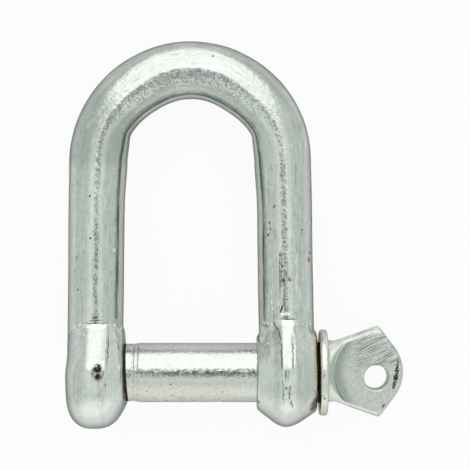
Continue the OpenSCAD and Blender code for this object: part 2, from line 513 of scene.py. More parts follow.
def bow_field(x, y, z):
    """The whole bow: bar, ears, relief and both bores."""
    ears = np.where(x < 0, round_ear_field(x, y, z), plain_ear_field(x, y, z))
    solid = smooth_min(bar_field(x, y, z), ears, EAR_FILLET) - bow_relief(x, y, z)
    tapped = THREADED_BORE_R + THREAD_DEPTH * (1 - thread_wave(x, y, z))
    bores = np.where(
        x < 0,
        bore_field(x, y, z, -EAR_X, THREADED_BORE_R, BORE_MOUTH[0]),
        bore_field(x, y, z, EAR_X, PLAIN_BORE_R, BORE_MOUTH[1]),
    )
    in_thread = (x < 0) & (np.abs(x + EAR_X) < EAR_HALF_W - TAP_END)
    bores = np.where(in_thread, np.maximum(bores, TAP_SHARE * (tapped - np.hypot(y, z))), bores)
    return smooth_max(solid, bores, BORE_EDGE)


# Pin

PIN_WAVES = (0.012, 2.3, 2.3, 90)
TIP_CHAMFER = 1.0
# The thread fades out between these depths inside the threaded ear's face
THREAD_FADE = (0.3, 1.6)
SCREW_SHARE = 0.8
# Two bands step up from the screwed end to the shank, each with a groove at its end
BAND_ENDS = (-9.55, -8.9)
BAND_STEP = 0.1
BAND_GROOVE = 0.13
BAND_GROOVE_HALF_W = 0.22
# The shank and the neck run this far into the collar
COLLAR_OVERLAP = 0.5
COLLAR_EDGE = 0.55
COLLAR_FILLET = 0.25
# Eye: moved across the pin, with flanks that lean in, a bevelled tip and a flat pressed into its neck
EYE_SHIFT = 0.25
EYE_FILLET = 0.6
FLANK_START_X = NECK_X + 1.3
FLANK_LAND = 0.4
FLANK_LEAN = 0.75
FLANK_EDGE = 0.6
FLANK_DRAFT = math.atan(FLANK_LEAN / (EYE_HALF_T - FLANK_LAND / 2))
FLANK_ANGLE = math.atan2(CORNER_Y - NECK_R, CORNER_X - FLANK_START_X)
CORNER_REACH = math.hypot(CORNER_X - TIP_CENTRE_X, CORNER_Y)
EDGE_ANGLE = math.atan2(CORNER_Y, CORNER_X - TIP_CENTRE_X) - math.acos(TIP_R / CORNER_REACH)
TIP_EDGE = 0.25
TIP_BEVEL = 0.35
TIP_BEVEL_EDGE = 0.2
FLAT_R = 7.5
FLAT_X = NECK_X + 1.05 + FLAT_R
FLAT_WALL = math.radians(18)
FLAT_FOOT_EDGE = 0.3
FLAT_RIM_EDGE = 0.35
# The hole is a little smaller than its solid's, and nearer to the collar
HOLE_SMALLER = 0.04
HOLE_NEARER = 0.15
HOLE_CHAMFER = 0.1
HOLE_EDGE = 0.15


def shank_field(x, y, z):
    """Screwed end, its bands, the shank and the collar."""
    reach = np.hypot(y, z)
    radius = THREAD_R
    for end in BAND_ENDS:
        radius = radius + (PIN_R - THREAD_R) / len(BAND_ENDS) * ramp(x, end - BAND_STEP, end + BAND_STEP)
        radius = radius - BAND_GROOVE * ridge(x, end, BAND_GROOVE_HALF_W)
    thread = ramp(-JAW_W / 2 - x, *THREAD_FADE)
    radius = radius - THREAD_DEPTH * thread_wave(x, y, z) * thread
    ends = np.maximum(PIN_TIP_X - x, x - COLLAR_X - COLLAR_OVERLAP)
    field = np.maximum(SCREW_SHARE * (reach - radius), ends)
    tip = (reach - THREAD_R + TIP_CHAMFER + PIN_TIP_X - x) * SQRT_HALF
    collar = smooth_max(reach - COLLAR_R, np.maximum(COLLAR_X - x, x - NECK_X), COLLAR_EDGE)
    return smooth_min(np.maximum(field, tip), collar, COLLAR_FILLET)


def eye_field(x, y, z):
    """Neck and flat eye, with its flanks, rounded tip and drilled hole."""
    hole_reach = np.hypot(x - HOLE_X + HOLE_NEARER, y - HOLE_Y)
    y = y - EYE_SHIFT
    side, height = np.abs(y), np.abs(z)
    flank_y = NECK_R + (x - FLANK_START_X) * math.tan(FLANK_ANGLE)
    lean = np.maximum(height - FLANK_LAND / 2, 0)
    flank = (side - flank_y) * math.cos(FLANK_ANGLE) * math.cos(FLANK_DRAFT)
    flank = flank + lean * math.sin(FLANK_DRAFT)
    from_tip = x - TIP_CENTRE_X
    edge = from_tip * math.cos(EDGE_ANGLE) + side * math.sin(EDGE_ANGLE) - TIP_R
    tip = np.where(np.arctan2(side, from_tip) < EDGE_ANGLE, np.hypot(from_tip, side) - TIP_R, edge)
    face = height - EYE_HALF_T
    plate = smooth_max(smooth_max(flank, face, FLANK_EDGE), tip, TIP_EDGE)
    plate = smooth_max(plate, (tip + face + TIP_BEVEL) * SQRT_HALF, TIP_BEVEL_EDGE)
    plate = np.maximum(plate, FLANK_START_X - x)

    neck = (np.hypot(side / np.maximum(flank_y, NECK_R), z / NECK_R) - 1) * NECK_R
    wall = (np.hypot(x - FLAT_X, y) - FLAT_R) * math.cos(FLAT_WALL) - face * math.sin(FLAT_WALL)
    neck = smooth_max(neck, -smooth_max(wall, -face, FLAT_FOOT_EDGE), FLAT_RIM_EDGE)
    neck = np.maximum(np.maximum(neck, x - FLAT_X), COLLAR_X + COLLAR_OVERLAP - x)
    hole = HOLE_R - HOLE_SMALLER - hole_reach + np.maximum(face + HOLE_CHAMFER, 0)
    return smooth_max(np.minimum(neck, plate), hole, HOLE_EDGE)


def pin_field(x, y, z):
    """The whole pin, with faint waves."""
    plain = smooth_min(shank_field(x, y, z), eye_field(x, y, z), EYE_FILLET)
    return plain - waves(x, y, z, *PIN_WAVES)


# Meshes


def leaned(points):
    """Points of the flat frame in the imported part's frame, in metres."""
    x, y, z = points.T
    c, s = math.cos(LAY_TILT), math.sin(LAY_TILT)
    return np.stack([x, y * c + z * s, z * c - y * s], 1) * MM


def add_object(name, data):
    """A new object in the scene."""
    made = bpy.data.objects.new(name, data)
    bpy.context.scene.collection.objects.link(made)
    return made


def make_piece(name, points, quads, material):
    """A mesh piece that keeps each point's place in the flat frame, and on the bar, for its material."""
    mesh = bpy.data.meshes.new(name)
    mesh.from_pydata(leaned(points).tolist(), [], quads.tolist())
    mesh.polygons.foreach_set("use_smooth", [True] * len(quads))
    x, y, z = points.T
    length, outward, _ = bar_place(x, y)
    bar = np.stack([length * np.sign(x), outward + crest_shift(length), z], 1)
    for key, values in (("place", points), ("bar", bar)):
        attribute = mesh.attributes.new(key, "FLOAT_VECTOR", "POINT")
        attribute.data.foreach_set("vector", values.astype(np.float32).ravel())
    mesh.materials.append(material)
    mesh.update()
    return add_object(name, mesh)


# Materials

# A mark is a tall ellipsoid: the height of its centre and its half height. What keeps it on the top side is
# that its strength is multiplied by a step from the lower to the upper side
MARK_Z = 9.0
MARK_HALF_Z = 60.0
TOP_SIDE_Z = (-1.0, 1.0)
WANDER_SCALE = 1.6
WANDER_OFFSET = (31.0, 17.0, 0)


class Shading:
    """The nodes of a material or world, made and joined by short calls that take sockets or constants."""

    def __init__(self, owner, surface="Principled BSDF"):
        owner.use_nodes = True
        self.owner = owner
        self.tree = owner.node_tree
        self.surface = self.tree.nodes[surface]

    def join(self, value, socket):
        if isinstance(value, bpy.types.NodeSocket):
            self.tree.links.new(value, socket)
        elif value is not None:
            socket.default_value = value

    def node(self, kind, inputs, **settings):
        made = self.tree.nodes.new("ShaderNode" + kind)
        for key, value in settings.items():
            setattr(made, key, value)
        for key, value in inputs.items():
            self.join(value, made.inputs[key])
        return made

    def attribute(self, name):
        return self.node("Attribute", {}, attribute_name=name).outputs["Vector"]

    def split(self, vector):
        return self.node("SeparateXYZ", {0: vector}).outputs

    def math(self, operation, a, b=None, c=None):
        return self.node("Math", {0: a, 1: b, 2: c}, operation=operation).outputs[0]

    def vector(self, operation, a, b=None, c=None):
        return self.node("VectorMath", {0: a, 1: b, 2: c}, operation=operation).outputs[0]

    def length(self, vector):
        return self.node("VectorMath", {0: vector}, operation="LENGTH").outputs["Value"]

    def product(self, first, *others):
        for other in others:
            first = self.math("MULTIPLY", first, other)
        return first

    def largest(self, first, *others):
        for other in others:
            first = self.math("MAXIMUM", first, other)
        return first

    def size(self, value):
        return self.math("ABSOLUTE", value)

    def apart(self, value, centre):
        """How far a value lies from centre, on either side."""
        return self.size(self.math("SUBTRACT", value, centre))

    def span(self, value, low, high, start=0.0, end=1.0):
        """A smooth step from start at low to end at high."""
        inputs = {"Value": value, "From Min": low, "From Max": high, "To Min": start, "To Max": end}
        return self.node("MapRange", inputs, interpolation_type="SMOOTHSTEP").outputs[0]

    def noise(self, vector, scale, detail=2.0, stretch=None, turn=0.0):
        if stretch:
            inputs = {"Vector": vector, "Rotation": (0, 0, turn), "Scale": stretch}
            vector = self.node("Mapping", inputs, vector_type="TEXTURE").outputs[0]
        inputs = {"Vector": vector, "Scale": scale, "Detail": detail}
        return self.node("TexNoise", inputs).outputs[0]

    def warped(self, vector, reach):
        """The vector, pushed along X and Y by noise, so that the marks placed by it wander."""
        sideways = self.noise(vector, WANDER_SCALE)
        lengthways = self.noise(self.vector("ADD", vector, WANDER_OFFSET), WANDER_SCALE)
        push = self.node("CombineXYZ", {0: sideways, 1: lengthways, 2: 0.5}).outputs[0]
        push = self.vector("SUBTRACT", push, (0.5, 0.5, 0.5))
        return self.vector("MULTIPLY_ADD", push, (reach, reach, reach), vector)

    def mix(self, share, a, b):
        """A colour that goes from a to b."""
        made = self.node("Mix", {0: share}, data_type="RGBA")
        self.join(a if not isinstance(a, tuple) else (*a, 1), made.inputs[6])
        self.join(b if not isinstance(b, tuple) else (*b, 1), made.inputs[7])
        return made.outputs[2]

    def blend(self, terms):
        """The sum of value times weight, over pairs of both."""
        total = 0.0
        for value, weight in terms:
            total = self.math("MULTIPLY_ADD", value, weight, total)
        return total

    def mark(self, place, centre, size, angle, soft=0.45):
        """1 inside an ellipse, falling to 0 at its rim; sizes are half widths."""
        inputs = {
            "Vector": place,
            "Location": (*centre, MARK_Z),
            "Rotation": (0, 0, math.radians(angle)),
            "Scale": (*size, MARK_HALF_Z),
        }
        local = self.node("Mapping", inputs, vector_type="TEXTURE").outputs[0]
        return self.span(self.length(local), 1.0, 1.0 - soft)

    def marks(self, place, rows):
        """The strongest of several marks, given as x, y, half width, half length and angle."""
        strongest = 0.0
        for x, y, half_width, half_length, angle in rows:
            one = self.mark(place, (x, y), (half_width, half_length), angle)
            strongest = self.largest(one, strongest)
        return strongest

    def relief(self, height, strength=1.0):
        """Bump from a height in millimetres."""
        inputs = {"Strength": strength, "Distance": MM, "Height": height}
        self.join(self.node("Bump", inputs).outputs[0], self.surface.inputs["Normal"])

    def finish(self, **inputs):
        """Joins values to the surface, and gives the material or world."""
        for key, value in inputs.items():
            self.join(value, self.surface.inputs[key.replace("_", " ")])
        return self.owner


DARK_ZINC = (0.50, 0.53, 0.51)
PALE_ZINC = (0.86, 0.875, 0.855)
# Dark zinc of the eye's scratches, and of the painted shade in the foot of its pressed flat
SCRATCH_AND_SHADE_ZINC = (0.24, 0.29, 0.28)
RUST = (0.26, 0.20, 0.115)
# White of burrs and crumbs, and of painted highlights on edges, ramp ends and the eye's wall and flanks
BURR_AND_GLINT_WHITE = (0.93, 0.935, 0.9)
# Grime in pits, dirt and crust, painted shade in creases, bores and gaps, and the painted reflection of the
# dark camera
GRIME_AND_SHADE = (0.035, 0.035, 0.03)
# Brassy tint of a painted highlight on the plain ear's outer edge beside the collar
BRASS_GLINT = (0.60, 0.52, 0.30)
# Painted reflection of the dark camera, in the band along the crest and in the line along the shank's top
REFLECTION_SPECK = (0.16, 0.18, 0.21)
# Painted shade along a line inside the bend and down the legs' inner sides
EDGE_SHADE = (0.13, 0.19, 0.155)
BEIGE = (0.80, 0.765, 0.65)
CREAM = (0.93, 0.88, 0.70)
BROWN = (0.20, 0.14, 0.07)
ROSE = (0.82, 0.795, 0.75)
OLIVE = (0.34, 0.29, 0.13)
BOW_EDGE_TINT = (0.34, 0.34, 0.34, 1)
PIN_EDGE_TINT = (0.6, 0.6, 0.6, 1)

# Marks on the bow, each row x, y, half width, half length and angle. Pits and nicks
BOW_PITS = (
    (-16.67, 29.67, 0.2, 0.22, 0),
    (-16.59, 22.67, 0.22, 0.25, 0),
    (-18.75, 14.13, 0.16, 0.22, 0),
    (-19.01, 19.56, 0.15, 0.15, 0),
    (13.18, 25.25, 0.13, 0.4, 20),
    (13.35, 24.25, 0.13, 0.3, 10),
    (13.0, 23.25, 0.16, 0.4, -35),
    (13.98, 27.96, 0.16, 0.35, -30),
    (15.3, 18.0, 0.18, 0.25, 0),
    (15.5, 15.7, 0.2, 0.5, 0),
    (15.17, 10.9, 0.17, 1.0, -18),
)
# Rust stains
BOW_RUST = (
    (18.59, 24.05, 0.25, 0.3, 0),
    (18.5, 23.5, 0.2, 0.25, 0),
    (19.95, 20.2, 0.25, 0.5, 0),
    (19.8, 19.1, 0.35, 0.7, 0),
    (15.95, 16.7, 0.4, 0.3, 30),
    (16.5, 15.9, 0.35, 0.6, 30),
    (3.79, 52.97, 0.3, 0.2, 20),
    (16.4, -2.6, 0.22, 1.6, -5),
    (16.75, -4.4, 0.25, 0.9, 10),
    (20.75, -5.0, 1.0, 2.1, -18),
    (21.1, -3.6, 0.4, 1.6, 10),
)
# Painted reflection of the dark camera: a dark spot on the threaded ear's flat
BOW_REFLECTION_SPOT = (
    (-15.05, 1.35, 0.95, 0.95, 0),
    (-15.0, 0.1, 0.6, 0.7, 0),
)
# Dark lines: painted shade in the creases beside steps, lands and grooves and beside the jaw, and crust
# beside the collar
BOW_SHADE_AND_CRUST_LINES = (
    (-15.8, 8.5, 2.6, 0.13, 0),
    (-15.7, 9.0, 1.4, 0.12, 0),
    (-15.65, 9.5, 0.85, 0.12, 0),
    (11.37, 6.0, 0.17, 1.5, 7),
    (11.4, -4.6, 0.12, 0.5, 0),
    (20.85, -4.5, 0.4, 1.3, -18),
    (20.5, -5.5, 0.35, 0.8, -30),
    (20.9, -5.0, 0.3, 0.9, -15),
    (16.3, 9.25, 1.9, 0.12, 0),
    (-13.5, 4.3, 0.13, 3.2, 0),
    (-13.76, -1.39, 0.13, 0.5, 0),
    (14.28, 7.97, 0.18, 1.15, 34),
    (14.93, 6.47, 0.17, 1.0, 9),
    (15.1, 3.4, 0.15, 3.0, 1),
    (15.35, -2.6, 0.12, 2.6, 4),
    (17.0, 3.4, 0.12, 3.2, 0),
    (-12.0, 4.9, 0.1, 1.6, 22),
)
# Raised crumbs and burrs, and painted highlights along the edges of the flattened patch and beside the
# plain ear's groove
BOW_BURRS_AND_EDGE_GLINTS = (
    (-20.04, 7.65, 0.25, 0.3, 0),
    (-19.5, 7.75, 0.2, 0.3, 0),
    (-18.5, 8.2, 0.3, 0.25, 0),
    (-11.6, 7.6, 0.22, 0.3, 0),
    (-12.5, 8.2, 0.25, 0.35, 20),
    (-11.54, 1.4, 0.2, 0.8, 0),
    (-12.2, 5.4, 0.11, 2.2, 19),
    (-18.1, 42.0, 0.5, 0.07, -5),
    (12.3, 8.5, 0.18, 0.5, 30),
    (12.9, 8.4, 0.15, 0.55, 30),
    (13.5, 8.3, 0.15, 0.5, 35),
    (14.1, 8.35, 0.15, 0.5, 40),
    (12.9, 5.3, 0.25, 0.2, 0),
    (20.2, 8.2, 0.25, 0.35, 0),
    (19.9, 6.4, 0.22, 0.3, 0),
    (16.5, 10.3, 1.6, 0.12, 0),
    (16.3, 20.35, 0.9, 0.15, 0),
    (17.6, 18.8, 0.35, 0.2, 15),
    (17.65, 15.0, 0.15, 3.0, 0),
    (13.5, 12.0, 0.25, 0.4, 0),
    (13.7, 10.9, 0.3, 0.35, 0),
    (13.4, 13.6, 0.2, 0.35, 0),
    (13.6, 14.8, 0.18, 0.3, 0),
    (14.75, 11.6, 0.12, 0.9, -15),
    (14.6, 40.5, 1.15, 0.17, 28),
    (-12.66, 20.7, 0.25, 0.4, 0),
    (17.4, 4.0, 0.13, 3.0, 0),
)
# Painted highlights on the upper ends of the ears' ramps
BOW_GLINTS = (
    (-15.87, 8.3, 3.6, 0.15, 0),
    (-15.87, 8.0, 2.4, 0.4, 0),
    (16.3, 8.98, 2.9, 0.15, 0),
    (16.3, 8.55, 2.2, 0.5, 0),
)
BOW_WANDER = 0.5

# Places on the bow, in the flat frame or along and across the bar, each the two ends of a smooth step
RIGHT_X = (0.0, 1.0)
PLAIN_BORE_REACH = (5.32, 5.2)
TAPPED_BORE_REACH = (5.0, 4.94)
BAR_Y = (8.8, 9.6)
CROWN_LENGTH = (25.0, 8.0)
OUTER_RIM = (2.6, 3.4)
LAND_X = EAR_X - 0.5
LAND_HALF_W = (2.2, 1.4)
LAND_START_Y = (0.5, 2.0)
LAND_END_Y = (9.0, 8.6)
EAR_END_Y = (-3.0, -6.5)
CHEEK_X = (14.3, 13.5)
CHEEK_Y = (8.5, 7.5)
LEFT_SHOULDER = -19.5
LEFT_SHOULDER_REACH = (7.0, 4.0)
# Brassy painted highlight on the plain ear's outer edge beside the collar
BRASS_X = (20.4, 20.7)
BRASS_Y = (-2.0, 0.5)
BUMP_Y = (7.5, 9.0)
# Speckled band along the crest, a painted reflection of the dark camera with painted light around it: wider
# and further in on the crown than on the legs
BAND_INWARD = 1.2
BAND_HALF_W = 0.3
BAND_WIDENING = 0.9
BAND_EDGE = (1.2, 0.9)
BAND_GLOW = (1.8, 0.8)
# Painted shade along a line inside the bend, at a height over the bar's middle, and the painted light below
# it and the painted shade above it
EDGE_SHADE_Z = 2.9
EDGE_SHADE_HALF_W = (0.4, 0.05)
EDGE_SHADE_OUTWARD = (-2.0, -2.4)
BEND_INSIDE = (-1.6, -2.6)
BEND_INSIDE_Z = (2.3, 2.7)
# Where the noise breaks a mark up, and what it leaves of the mark
REFLECTION_SPOT_BREAK = (0.36, 0.46, 0.25, 1.0)
RUST_BREAK = (0.38, 0.54, 0.4, 1.0)
EDGE_SHADE_BREAK = (0.65, 0.45, 0.35, 1.0)
SPECK_BREAK = (0.54, 0.40)
BRASS_BREAK = (0.38, 0.48)
PALE_SCUFF = (0.62, 0.72)
DARK_SCUFF = (0.38, 0.28)


def zinc_bow():
    """Zinc over forged steel: streaks along the bar, fine pits, burrs, grime and rust stains, with painted
    shade, painted reflection and painted highlights.
    """
    s = Shading(bpy.data.materials.new("zinc_bow"))
    place = s.attribute("place")
    bar = s.attribute("bar")
    x, y, z = s.split(place)
    warped = s.warped(place, BOW_WANDER)
    streak = s.noise(bar, scale=1.0, detail=3, stretch=(8.0, 0.5, 0.5))
    scuff = s.noise(bar, scale=2.2, detail=1, stretch=(5.0, 1.0, 1.0))
    cloud = s.noise(place, scale=0.35, detail=3)
    peel = s.noise(place, scale=0.9, detail=2)
    grain = s.noise(place, scale=1.8, detail=1)
    speck = s.noise(place, scale=2.6, detail=1)

    above = s.span(z, *TOP_SIDE_Z)
    # Painted reflection of the dark camera on the threaded ear's flat, joined to the real pits
    reflection_spot = s.product(s.marks(warped, BOW_REFLECTION_SPOT), s.span(speck, *REFLECTION_SPOT_BREAK))
    pits_and_reflection = s.product(s.largest(s.marks(place, BOW_PITS), reflection_spot), above)
    # Dark lines: painted shade in creases and beside the jaw, and crust beside the collar
    shade_and_crust_lines = s.product(s.marks(warped, BOW_SHADE_AND_CRUST_LINES), above)
    burrs_and_edge_glints = s.product(s.marks(warped, BOW_BURRS_AND_EDGE_GLINTS), above)
    rust = s.product(s.marks(warped, BOW_RUST), above, s.span(speck, *RUST_BREAK))
    # Painted shade inside the bores, and oily dirt in the thread
    from_axis = s.length(s.vector("MULTIPLY", place, (0, 1, 1)))
    bore_dirt_and_shade = s.product(s.span(from_axis, *PLAIN_BORE_REACH), s.span(x, *RIGHT_X))
    bore_dirt_and_shade = s.largest(bore_dirt_and_shade, s.span(from_axis, *TAPPED_BORE_REACH))
    # Real pits, dirt and crust, with painted shade and the painted reflection, all mixed towards one dark
    # colour
    grime_and_shade = s.largest(pits_and_reflection, s.product(shade_and_crust_lines, 0.75), bore_dirt_and_shade)

    # Painted reflection of the dark camera: a speckled band on top of the crown that narrows to a line on
    # the legs; and painted shade along a line inside the bend
    length, outward, _ = s.split(bar)
    on_crown = s.span(s.size(length), *CROWN_LENGTH)
    band_place = s.math("MULTIPLY_ADD", on_crown, BAND_INWARD, outward)
    band_width = s.math("MULTIPLY_ADD", on_crown, BAND_WIDENING, BAND_HALF_W)
    from_band = s.math("DIVIDE", s.size(band_place), band_width)
    on_bar = s.product(s.span(y, *BAR_Y), above)
    reflection_band = s.product(s.span(from_band, *BAND_EDGE), on_bar)
    reflection_specks = s.product(reflection_band, s.span(speck, *SPECK_BREAK))
    # Painted shade along a line inside the bend and the legs
    edge_shade = s.product(s.span(s.apart(z, EDGE_SHADE_Z), *EDGE_SHADE_HALF_W), s.span(outward, *EDGE_SHADE_OUTWARD))
    edge_shade = s.product(edge_shade, on_bar, s.span(streak, *EDGE_SHADE_BREAK))

    # Lands on the ears' ramps, darkened as painted shade that tempers their highlight, and the ears' cheeks
    # beside the jaw, lightened as painted light
    on_ramp = s.product(s.span(y, *LAND_START_Y), s.span(y, *LAND_END_Y))
    land_shade = s.product(s.span(s.apart(s.size(x), LAND_X), *LAND_HALF_W), on_ramp)
    cheek_light = s.product(s.span(s.size(x), *CHEEK_X), s.span(y, *CHEEK_Y))
    outer_rim_shade = s.product(on_crown, s.span(outward, *OUTER_RIM))
    bend_inside_light_and_shade = s.product(on_crown, s.span(outward, *BEND_INSIDE))
    # Tone: random streaks, clouds, grain and scuffs, with painted shade on the lands, the crown's outer
    # rim, the left shoulder and inside the bend above the line, and painted light on and around the band,
    # at the ears' ends, on the cheeks and inside the bend below the line
    tone = s.blend((
        (land_shade, -0.18),
        (outer_rim_shade, -0.3),
        (streak, 0.6),
        (cloud, 0.4),
        (grain, 0.5),
        (1.0, -0.3),
        (reflection_band, 0.15),
        (s.span(s.size(band_place), *BAND_GLOW), 0.3),
        (s.span(y, *EAR_END_Y), 0.4),
        (bend_inside_light_and_shade, s.span(z, *BEND_INSIDE_Z, 0.3, -0.4)),
        (cheek_light, 0.35),
        (s.span(scuff, *PALE_SCUFF), 0.35),
        (s.span(scuff, *DARK_SCUFF), -0.35),
        (s.span(s.apart(length, LEFT_SHOULDER), *LEFT_SHOULDER_REACH), -0.35),
    ))
    # Painted highlights on the upper ends of the ears' ramps
    glints = s.product(s.marks(warped, BOW_GLINTS), above)
    # Painted highlight, brassy, on the plain ear's outer edge beside the collar
    brassy_glint = s.product(s.span(x, *BRASS_X), s.span(speck, *BRASS_BREAK), above, s.span(y, *BRASS_Y))
    colour = s.mix(tone, DARK_ZINC, PALE_ZINC)
    colour = s.mix(s.product(reflection_specks, 0.5), colour, REFLECTION_SPECK)
    colour = s.mix(edge_shade, colour, EDGE_SHADE)
    colour = s.mix(s.largest(burrs_and_edge_glints, glints), colour, BURR_AND_GLINT_WHITE)
    colour = s.mix(brassy_glint, colour, BRASS_GLINT)
    colour = s.mix(s.product(rust, 0.95), colour, RUST)
    colour = s.mix(grime_and_shade, colour, GRIME_AND_SHADE)

    # The bump is weaker on the ears
    height = s.blend(((peel, 0.035), (grain, 0.018), (speck, 0.01), (streak, 0.014), (burrs_and_edge_glints, 0.1)))
    s.relief(height, s.span(y, *BUMP_Y, 0.5, 1.0))
    return s.finish(
        Base_Color=colour,
        Metallic=s.blend(((rust, -0.8), (grime_and_shade, -0.3), (burrs_and_edge_glints, -0.6), (1.0, 1.0))),
        Roughness=s.blend(((cloud, 0.12), (grain, 0.10), (rust, 0.35), (reflection_band, 0.07), (1.0, 0.10))),
        Specular_Tint=BOW_EDGE_TINT,
    )


# Dirt and nicks on the pin's eye, collar and shank, in rows like the bow's
PIN_DIRT = (
    (34.78, 1.7, 0.2, 0.9, -8),
    (34.6, 0.5, 0.42, 1.1, -5),
    (34.4, -0.8, 0.5, 1.2, -8),
    (34.15, -1.9, 0.32, 1.1, -15),
    (32.35, -5.45, 0.26, 0.42, -40),
    (22.1, -3.5, 0.12, 0.4, 20),
    (22.3, -3.9, 0.12, 0.35, -30),
    (-3.2, -1.6, 0.25, 0.12, 20),
)
PIN_WANDER = 0.4

# Places on the pin, each the two ends of a smooth step
EYE_X = (NECK_X - 0.1, NECK_X + 0.3)
COLLAR_START_X = (COLLAR_X - 0.1, COLLAR_X + 0.1)
SHANK_END_X = (COLLAR_X, COLLAR_X - 0.2)
# Beige and lighter, with cream and brown specks, on the shank's side away from the crown
BEIGE_SIDE_X = (9.0, 6.0)
BEIGE_SIDE_Y = (-1.2, -2.8)
# Painted reflection of the dark camera: a speckled line along the shank's top
SHANK_LINE_Y = 0.6
SHANK_LINE_HALF_W = (0.6, 0.3)
# Painted shade in the mouth of the threaded bore and in the gap between the plain ear and the collar, and
# crust over it
MOUTH_START_X = (-10.6, -10.7)
MOUTH_END_X = (-11.3, -11.6)
GAP_START_X = (EAR_OUTER_X - 0.4, EAR_OUTER_X)
GAP_END_X = (COLLAR_X, COLLAR_X - 0.1)
CRUST_START_X = (EAR_OUTER_X - 0.5, EAR_OUTER_X - 0.3)
CRUST_END_X = (COLLAR_X + 0.25, COLLAR_X + 0.1)
CRUST_Y = (-2.8, -3.8)
# Brushed part of the eye, and the direction of its scratches
BRUSHED_X = (27.0, 28.5)
BRUSHED_Y = (0.5, 1.8)
BRUSHED_LEAST = 0.2
BRUSHED_MORE = 0.8
BRUSH_STRETCH = (3.0, 0.13, 1.0)
BRUSH_TURN = math.radians(26)
# Painted highlight on the wall and painted shade on the foot of the pressed flat, by distance from the
# flat's centre
WALL_START_R = (FLAT_R - 0.1, FLAT_R + 0.05)
WALL_END_R = (FLAT_R + 2.6, FLAT_R + 0.9)
FOOT_START_R = (FLAT_R - 2.6, FLAT_R - 0.1)
FOOT_END_R = (FLAT_R + 0.05, FLAT_R - 0.1)
FOOT_X = (FLAT_X - 3.0, FLAT_X - 6.0)
# Painted highlight along the inner edge of the eye's flanks, by distance from the flank's land
FLANK_LINE = NECK_R - FLANK_START_X * math.tan(FLANK_ANGLE)
FLANK_PALE = (FLANK_LINE - 0.85, FLANK_LINE - 0.65)
FLANK_GREY = (FLANK_LINE - 0.2, FLANK_LINE - 0.45, 0.25, 1.0)
FLANK_END_X = (CORNER_X, CORNER_X - 0.4)
# Where the noise breaks a mark up, and what it leaves of the mark
BEIGE_SIDE_BREAK = (0.4, 0.6, 0.3, 1.0)
DIRT_BREAK = (0.38, 0.5, 0.3, 1.0)
CREAM_BREAK = (0.53, 0.63)
BROWN_BREAK = (0.36, 0.29)
CRUST_BREAK = (0.35, 0.55)
SCRATCH_BREAK = (0.48, 0.38)
SHANK_LINE_BREAK = (0.54, 0.44)


